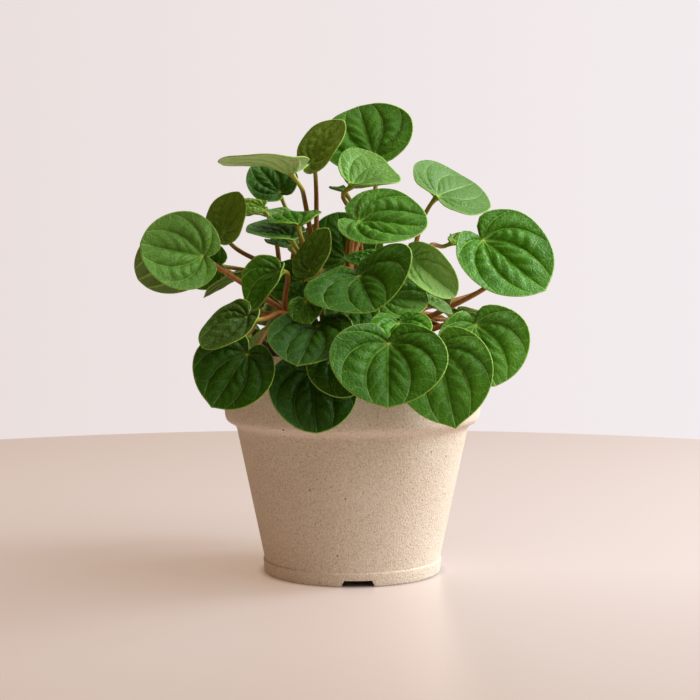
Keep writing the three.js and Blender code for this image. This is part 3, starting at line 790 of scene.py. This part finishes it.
# %% Sweep tree
def new_tree(name, **inputs):
    tree = bpy.data.node_groups.new(name, "GeometryNodeTree")
    tree.interface.new_socket("Geometry", in_out="INPUT", socket_type="NodeSocketGeometry")
    tree.interface.new_socket("Geometry", in_out="OUTPUT", socket_type="NodeSocketGeometry")
    for label, kind in inputs.items():
        tree.interface.new_socket(label, in_out="INPUT", socket_type="NodeSocket" + kind)
    return tree, tree.nodes.new("NodeGroupInput").outputs, tree.nodes.new("NodeGroupOutput")


def close_tree(tree, given, result, shape):
    """Makes the instances real and sets the material, which every tree here ends with."""
    real = add_node(tree, "RealizeInstances", {"Geometry": shape})
    finish = add_node(tree, "SetMaterial", {"Geometry": real, "Material": given["Finish"]})
    fill(tree, result, {"Geometry": finish})
    return tree


def sweep_tree():
    tree, given, result = new_tree("sweep", Sides="Int", Finish="Material")
    lines = add_node(tree, "MeshToCurve", {"Mesh": given["Geometry"]})
    thickness = add_node(tree, "InputNamedAttribute", {"Name": "thickness"}, data_type="FLOAT")
    circle = add_node(tree, "CurvePrimitiveCircle", {"Resolution": given["Sides"], "Radius": 1.0})
    tubes = add_node(tree, "CurveToMesh", {
        "Curve": lines, "Profile Curve": circle, "Scale": thickness, "Fill Caps": True})
    return close_tree(tree, given, result, add_node(tree, "SetShadeSmooth", {"Geometry": tubes}))


def run_tree(piece, tree, **values):
    """Runs a tree on a piece and leaves its result there as a plain mesh."""
    modifier = piece.modifiers.new(tree.name, "NODES")
    modifier.node_group = tree
    for item in tree.interface.items_tree:
        if item.in_out == "INPUT" and item.name in values:
            modifier[item.identifier] = values[item.name]
    settle(piece)

# %% Stalk material
STALK_SHADE = colour(108, 68, 20)
STALK_LIGHT = colour(196, 130, 48)
STALK_GREEN = colour(168, 172, 56)
STEM_COLOUR = colour(96, 78, 44)
STREAKS = (900, 900, 120)
TURNS_GREEN = (0.72, 1.0)
STALK_FINISH = {
    "Roughness": 0.42, "Specular IOR Level": 0.35,
    "Subsurface Weight": 0.2, "Subsurface Scale": 0.001, "Subsurface Radius": (1.2, 0.5, 0.2),
}


def stalk_material():
    material, tree, shader, place = new_material("leafstalk", STALK_FINISH)
    along, stalk = point_numbers(tree, "along", "stalk")
    streaks = noise(tree, add_node(tree, "Mapping", {"Vector": place, "Scale": STREAKS}), 1, 3)
    red = blend(tree, streaks, STALK_SHADE, STALK_LIGHT)
    shaded = blend(tree, ramp_down(tree, along, *TURNS_GREEN), STALK_GREEN, red)
    both = blend(tree, stalk, STEM_COLOUR, shaded)
    join_surface(tree, shader, both, streaks, 0.2 * MM)
    return material

# %% Grow the stems
STALK_SIDES = 16
STALK_SKIN = stalk_material()
SWEEP = sweep_tree()

for stem_name in STEMS:
    points, edges, numbers = stalk_lines(stem_name)
    mesh = new_mesh(stem_name, points, edges=edges, numbers=numbers)
    piece = link_object("stalks_" + stem_name, mesh)
    run_tree(piece, SWEEP, Sides=STALK_SIDES, Finish=STALK_SKIN)
    dress(piece, [stem_name], frame["nodes"][stem_name].get("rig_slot", "stem"))
print("stems", len(STEMS))

# %% [markdown]
# ## The pot
# The pot is pressed from fine fibre: a turned body with soft corners, a deep rim that stands out
# over the neck, and a foot ring. Six holes in its floor and three notches in the foot let water out.
# A turned shape follows from its profile, so the profile's corners are rounded first and then
# carried round the axis. Holes and notches are cut from it with a Boolean modifier.

# %% Pot profile
POT_HEIGHT = 103.5
RIM_RADIUS = 60
NECK_RADIUS = 54.5
NECK_HEIGHT = 69
FOOT_RADIUS = 41.7
FOOT_HEIGHT = 6.3
WALL = 2.8
FLOOR_TOP = 6
CHANNEL_HEIGHT = 3
POT_STEPS = 192
DRAIN = {"count": 6, "radius": 4, "ring": 29.5, "sides": 32}
NOTCH = {"count": 3, "first": -86.5, "top": 12.6, "foot": 16.2, "height": 2.9, "in": 8, "depth": 12}
BELOW = 2
EDGE_SOFTNESS = 0.35

POT_CORNERS = [
    (0, 0, 0), (21, 0, 0.8), (22.5, CHANNEL_HEIGHT, 0.8), (36.5, CHANNEL_HEIGHT, 0.6), (37.2, 0, 0.6),
    (FOOT_RADIUS - 0.2, 0, 0.9), (FOOT_RADIUS + 0.3, FOOT_HEIGHT - 0.3, 0.6),
    (FOOT_RADIUS - 0.35, FOOT_HEIGHT, 0.5), (NECK_RADIUS, NECK_HEIGHT, 2.0),
    (RIM_RADIUS - 0.9, NECK_HEIGHT + 2.3, 2.2), (RIM_RADIUS, NECK_HEIGHT + 6, 5),
    (RIM_RADIUS, POT_HEIGHT, 1.3), (RIM_RADIUS - WALL, POT_HEIGHT, 1.1),
    (RIM_RADIUS - WALL - 0.4, NECK_HEIGHT + 8, 5), (NECK_RADIUS - WALL, NECK_HEIGHT + 1.5, 5),
    (FOOT_RADIUS - WALL, FLOOR_TOP, 2.2), (0, FLOOR_TOP, 0),
]


def rounded(corners, steps=6):
    """A profile with each corner replaced by a curve that starts and ends its third value away."""
    profile = []
    for i, (radius, height, soft) in enumerate(corners):
        corner = np.array([radius, height], float)
        if not soft:
            profile.append(corner)
            continue
        ends = []
        for neighbour in (corners[i - 1], corners[i + 1]):
            way = np.array(neighbour[:2]) - corner
            distance = np.linalg.norm(way)
            ends.append(corner + way / distance * min(soft, 0.45 * distance))
        for t in np.linspace(0, 1, steps):
            profile.append((1 - t) ** 2 * ends[0] + 2 * t * (1 - t) * corner + t**2 * ends[1])
    return np.array(profile)


def turned(name, profile, steps):
    """Carries a profile round the axis. It starts on the axis below and ends on it above."""
    angle = np.linspace(0, 2 * np.pi, steps, endpoint=False)
    ring = np.stack([np.cos(angle), np.sin(angle)], -1)
    body = profile[1:-1]
    points = [np.column_stack([r * ring, np.full(steps, z)]) for r, z in body]
    points = np.concatenate([[[0, 0, profile[0][1]]], *points, [[0, 0, profile[-1][1]]]])
    j = np.arange(steps)
    k = (j + 1) % steps
    faces = np.stack([0 * j, 1 + k, 1 + j], -1).tolist()
    for i in range(len(body) - 1):
        here, above = 1 + i * steps, 1 + (i + 1) * steps
        faces += np.stack([here + j, here + k, above + k, above + j], -1).tolist()
    last = len(points) - 1
    faces += np.stack([last - steps + j, last - steps + k, np.full(steps, last)], -1).tolist()
    return new_mesh(name, points, faces)

# %% Cutters
def block(name, ring, shift):
    """A straight block between a ring of points, which turns left seen from outside, and its copy."""
    count = len(ring)
    faces = [list(range(count)), list(range(2 * count - 1, count - 1, -1))]
    faces += [[i, i + count, (i + 1) % count + count, (i + 1) % count] for i in range(count)]
    return new_mesh(name, np.concatenate([ring, ring + shift]), faces)


def drain_hole(i):
    a = 2 * math.pi * (i + 0.5) / DRAIN["count"]
    turns = np.linspace(2 * np.pi, 0, DRAIN["sides"], endpoint=False)
    ring = DRAIN["radius"] * np.stack([np.cos(turns), np.sin(turns), 0 * turns], -1)
    ring += [DRAIN["ring"] * math.cos(a), DRAIN["ring"] * math.sin(a), -BELOW]
    return block("drain hole", ring, [0, 0, 2 * FLOOR_TOP + BELOW])


def notch(i):
    foot, top = NOTCH["foot"] / 2, NOTCH["top"] / 2
    a = math.radians(NOTCH["first"] + 360 * i / NOTCH["count"] - 90)
    turning = np.array([[math.cos(a), math.sin(a), 0], [-math.sin(a), math.cos(a), 0], [0, 0, 1]])
    outline = [(-foot, -1), (foot, -1), (top, NOTCH["height"]), (-top, NOTCH["height"])]
    ring = np.array([(x, FOOT_RADIUS - NOTCH["in"], z) for x, z in outline])
    return block("notch", ring @ turning, np.array([0, NOTCH["depth"], 0]) @ turning)

# %% Cut the pot
pot = link_object("fibre_pot", turned("fibre_pot", rounded(POT_CORNERS), POT_STEPS))
cutters = bpy.data.collections.new("cutters")
meshes = [notch(i) for i in range(NOTCH["count"])] + [drain_hole(i) for i in range(DRAIN["count"])]
for mesh in meshes:
    cutters.objects.link(bpy.data.objects.new(mesh.name, mesh))
modifier = pot.modifiers.new("cut", "BOOLEAN")
modifier.operation = "DIFFERENCE"
modifier.operand_type = "COLLECTION"
modifier.collection = cutters
modifier.solver = "EXACT"
soften = pot.modifiers.new("soften", "BEVEL")
soften.width = EDGE_SOFTNESS * MM
soften.segments = 2
soften.limit_method = "ANGLE"
soften.angle_limit = math.radians(50)
settle(pot)
pot.data.shade_smooth()
pot.data.set_sharp_from_angle(angle=math.radians(40))
bpy.data.batch_remove([*cutters.objects, cutters])
print("pot faces", len(pot.data.polygons), "with", len(meshes), "cuts")

# %% [markdown]
# The ware is pale sand with a fine grain. Three sizes of mark lie in it: pits close together, small
# dark specks, and a few large ones. Each is a round spot in some of the cells of a Voronoi texture.

# %% Pot material
POT_SAND = colour(236, 220, 200)
POT_SHADE = colour(190, 165, 136)
POT_PALE = colour(236, 222, 204)
POT_PIT = colour(150, 118, 90)
SPECK = colour(84, 58, 40)
CLOUD_SHARE = 0.6
PIT_SHARE = 0.35
SPECK_SHARE = 0.8
PITS = {"scale": 800, "chosen": 0.55, "inner": 0.1, "outer": 0.4}
DOTS = {"scale": 330, "chosen": 0.88, "inner": 0.08, "outer": 0.2}
LARGE_DOTS = {"scale": 80, "chosen": 0.86, "inner": 0.04, "outer": 0.07}


def specks(tree, place, scale, chosen, inner, outer):
    """Round marks in those cells of a Voronoi texture whose number is above chosen."""
    cells = add_node(tree, "TexVoronoi", {"Vector": place, "Scale": scale})
    few = reckon(tree, "GREATER_THAN", cells.outputs["Color"], chosen)
    return times(tree, ramp_down(tree, cells.outputs["Distance"], inner, outer), few)


def pot_material():
    material, tree, shader, place = new_material("pressed fibre", {"Roughness": 0.8})
    grain = noise(tree, place, 1300, 3)
    cloud = noise(tree, place, 38, 4)
    base = blend(tree, stretch(tree, grain, 0.3, 0.7), POT_SHADE, POT_SAND)
    base = blend(tree, times(tree, cloud, CLOUD_SHARE), base, POT_PALE)
    pits = specks(tree, place, **PITS)
    dots = reckon(tree, "MAXIMUM", specks(tree, place, **DOTS), specks(tree, place, **LARGE_DOTS))
    base = blend(tree, times(tree, pits, PIT_SHARE), base, POT_PIT)
    base = blend(tree, times(tree, dots, SPECK_SHARE), base, SPECK)
    height = stack(tree, (grain, 0.35), (pits, -0.16), (dots, -0.12))
    join_surface(tree, shader, base, height, MM)
    return material

# %% Finish the pot
dress(pot, ["pot"], "pot", pot_material())
print("pot finish", pot.data.materials[0].name)

# %% [markdown]
# ## Soil
# Potting soil is a heap of dark crumbs. The body is turned, with an uneven top, and Geometry Nodes
# scatter crumbs over it: points on the upward faces, a small rough ball on each, turned and sized at
# random from a fixed seed. The instances are made real, because the export drops them.

# %% Soil body
SOIL_STEPS = 120
SOIL_RADIUS = RIM_RADIUS - WALL - CLEAR - 0.3
SOIL_BUMPS = ((0.09, 1.1), (0.23, 0.6), (0.55, 0.3))
UNEVEN = 0.6
CRUMB_SIZE = 1.7
CRUMB_LEAST = (0.35, 0.35, 0.3)
CRUMB_MOST = (1.3, 1.0, 0.8)
CRUMBS_PER_SQUARE_METRE = 230000.0
CRUMB_SEED = 4
SHAPE_SEED = 7
UPWARD = 0.7


def soil_bumps(x, y):
    total = 0
    for pitch, height in SOIL_BUMPS:
        swerve = 1.7 * np.sin(pitch * y)
        total += height * np.sin(pitch * x + swerve) * np.cos(1.3 * pitch * y + 2 * height)
    return total


def soil_mesh():
    side = [
        (0, FLOOR_TOP + CLEAR), (FOOT_RADIUS - WALL - 2.3, FLOOR_TOP + CLEAR),
        (FOOT_RADIUS - WALL - CLEAR, FLOOR_TOP + 2.3), (NECK_RADIUS - WALL - CLEAR, NECK_HEIGHT + 1.7),
        (RIM_RADIUS - WALL - 0.4 - CLEAR, NECK_HEIGHT + 8.2), (SOIL_RADIUS, SOIL_TOP - 1.6),
    ]
    radii = np.linspace(SOIL_RADIUS - 0.8, 0, 30)
    top = [(r, SOIL_TOP - 0.8 + (SOIL_MOUND - SOIL_TOP) * (1 - (r / SOIL_RADIUS) ** 3)) for r in radii]
    mesh = turned("soil_body", np.array(side + top), SOIL_STEPS)
    for vertex in mesh.vertices:
        x, y, z = np.array(vertex.co) / MM
        fade = smooth_step(np.hypot(x, y), SOIL_RADIUS, SOIL_RADIUS - 6) * (z > SOIL_TOP - 1)
        vertex.co.z += soil_bumps(x, y) * fade * UNEVEN * MM
    return mesh

# %% Crumb tree
def vector_math(tree, operation, inputs):
    return add_node(tree, "ShaderNodeVectorMath", inputs, operation=operation)


def random_vector(tree, low, high, seed):
    inputs = {"Min": low, "Max": high, "Seed": seed}
    return add_node(tree, "FunctionNodeRandomValue", inputs, data_type="FLOAT_VECTOR")


def crumb_tree():
    sockets = {"Size": "Float", "Density": "Float", "Seed": "Int", "Finish": "Material"}
    tree, given, result = new_tree("crumbs", **sockets)
    body, size, seed = given["Geometry"], given["Size"], given["Seed"]
    up = add_node(tree, "ShaderNodeSeparateXYZ", {0: add_node(tree, "InputNormal")}).outputs["Z"]
    upward = add_node(tree, "FunctionNodeCompare", {0: up, 1: UPWARD}, operation="GREATER_THAN")
    points = add_node(tree, "DistributePointsOnFaces", {
        "Mesh": body, "Selection": upward, "Density": given["Density"], "Seed": seed})
    ball = add_node(tree, "MeshIcoSphere", {"Radius": 1.0, "Subdivisions": 1})
    turn = random_vector(tree, (0, 0, 0), (6.28, 6.28, 6.28), seed)
    shape = random_vector(tree, CRUMB_LEAST, CRUMB_MOST, SHAPE_SEED)
    shape = vector_math(tree, "SCALE", {0: shape, "Scale": size})
    crumbs = add_node(tree, "InstanceOnPoints", {
        "Points": points, "Instance": ball, "Rotation": turn, "Scale": shape})
    real = add_node(tree, "RealizeInstances", {"Geometry": crumbs})
    rough = add_node(tree, "ShaderNodeTexNoise", {"Scale": 700.0, "Detail": 2.0}).outputs["Color"]
    centred = vector_math(tree, "SUBTRACT", {0: rough, 1: (0.5, 0.5, 0.5)})
    push = vector_math(tree, "SCALE", {0: centred, "Scale": size})
    uneven = add_node(tree, "SetPosition", {"Geometry": real, "Offset": push})
    joined = add_node(tree, "JoinGeometry", {0: uneven})
    fill(tree, joined, {0: body})
    return close_tree(tree, given, result, joined)

# %% Soil material
SOIL_DARK = colour(34, 22, 14)
SOIL_LIGHT = colour(92, 64, 42)
SOIL_BLACK = colour(20, 14, 10)


def soil_material():
    material, tree, shader, place = new_material("potting soil", {"Roughness": 0.95})
    patches = stretch(tree, noise(tree, place, 260, 3), 0.35, 0.68)
    grain = noise(tree, place, 1800, 4)
    base = blend(tree, patches, SOIL_DARK, SOIL_LIGHT)
    base = blend(tree, times(tree, grain, 0.4), base, SOIL_BLACK)
    join_surface(tree, shader, base, grain, 0.5 * MM)
    return material

# %% Make the soil
soil = link_object("soil_crumbs", soil_mesh())
run_tree(soil, crumb_tree(), Size=CRUMB_SIZE * MM, Density=CRUMBS_PER_SQUARE_METRE, Seed=CRUMB_SEED,
         Finish=soil_material())
dress(soil, ["soil"], "soil")
print("soil faces", len(soil.data.polygons))

# %% [markdown]
# ## Floor and light
# The plant stands on a plain pale disc under soft light. One broad lamp stands to the right and a
# little behind, as a window would, and a broader one to the right and in front. A glow from above
# right fills in the rest. Shadows in a bright room stay pale, so the disc glows faintly itself, but
# not under the pot. What the camera sees behind the plant is paler than the glow that lights it.

# %% Floor
FLOOR_RADIUS = 620
FLOOR_COLOUR = colour(172, 168, 170)
# Painted shade: the front of the floor, darker where the light falls off
FLOOR_FRONT_SHADE = colour(124, 116, 112)
FLOOR_GLOW = colour(160, 136, 118)
SHADE_UNDER = (0.038, 0.046)
FRONT_SHADE_EDGE = -0.36

floor_corners = [(0, -20, 0), (FLOOR_RADIUS, -20, 2), (FLOOR_RADIUS, 0, 6), (0, 0, 0)]
floor = link_object("floor", turned("floor", rounded(floor_corners), 128))
floor_material, tree, floor_shader, place = new_material("pale floor", {"Roughness": 0.3})
distance = add_node(tree, "VectorMath", {0: place}, operation="LENGTH").outputs["Value"]
open_floor = stretch(tree, distance, *SHADE_UNDER, interpolation_type="SMOOTHSTEP")
depth = add_node(tree, "SeparateXYZ", {"Vector": place}).outputs["Y"]
# Painted shade: the floor grows darker towards the front
base = blend(tree, stretch(tree, depth, FRONT_SHADE_EDGE, 0.0), FLOOR_FRONT_SHADE, FLOOR_COLOUR)
glow = {"Emission Color": FLOOR_GLOW, "Emission Strength": open_floor}
fill(tree, floor_shader, {"Base Color": base} | glow)
floor.data.materials.append(floor_material)

# %% Lamps
LOOK_AT = 0.12
LAMP_DISTANCE = 1.2


def lamp(name, azimuth, elevation, size, power, tint):
    data = bpy.data.lights.new(name, "AREA")
    data.shape = "DISK"
    data.size = size
    data.energy = power
    data.color = tint
    item = link_object(name, data)
    item.location = direction(azimuth, elevation) * LAMP_DISTANCE + [0, 0, LOOK_AT]
    item.rotation_euler = (math.radians(90 - elevation), 0, math.radians(azimuth + 90))


lamp("window", azimuth=14, elevation=30, size=0.5, power=12.5, tint=(0.86, 0.94, 1.0))
lamp("room", azimuth=-28, elevation=36, size=0.8, power=7.5, tint=(0.92, 0.96, 1.0))

# %% Glow from all round
SEEN_LEFT = colour(234, 223, 221)
SEEN_RIGHT = colour(244, 237, 239)
SEEN_SPAN = (-0.24, 0.24)
GLOW_FROM = (0.6, 0.15, 0.78)
GLOW_BRIGHT = (1.0, 1.0, 1.03, 1)
GLOW_DIM = (0.1, 0.055, 0.015, 1)
GLOW_STRENGTH = 1.45
GLOW_FOCUS = 2.0

world = bpy.data.worlds.new("glow")
scene.world = world
world.use_nodes = True
tree = world.node_tree
tree.nodes.clear()
way = add_node(tree, "TexCoord").outputs["Generated"]
along = add_node(tree, "VectorMath", {0: way, 1: GLOW_FROM}, operation="DOT_PRODUCT").outputs["Value"]
share = reckon(tree, "POWER", reckon(tree, "MAXIMUM", along, 0.0), GLOW_FOCUS)
tint = blend(tree, share, GLOW_DIM, GLOW_BRIGHT)
lighting = add_node(tree, "Background", {"Color": tint, "Strength": GLOW_STRENGTH})
sideways = add_node(tree, "SeparateXYZ", {"Vector": way}).outputs["X"]
seen_tint = blend(tree, stretch(tree, sideways, *SEEN_SPAN), SEEN_LEFT, SEEN_RIGHT)
seen = add_node(tree, "Background", {"Color": seen_tint, "Strength": 1.0})
from_camera = add_node(tree, "LightPath").outputs["Is Camera Ray"]
both = add_node(tree, "MixShader", {0: from_camera, 1: lighting, 2: seen})
add_node(tree, "OutputWorld", {"Surface": both})
scene.view_settings.view_transform = "Standard"
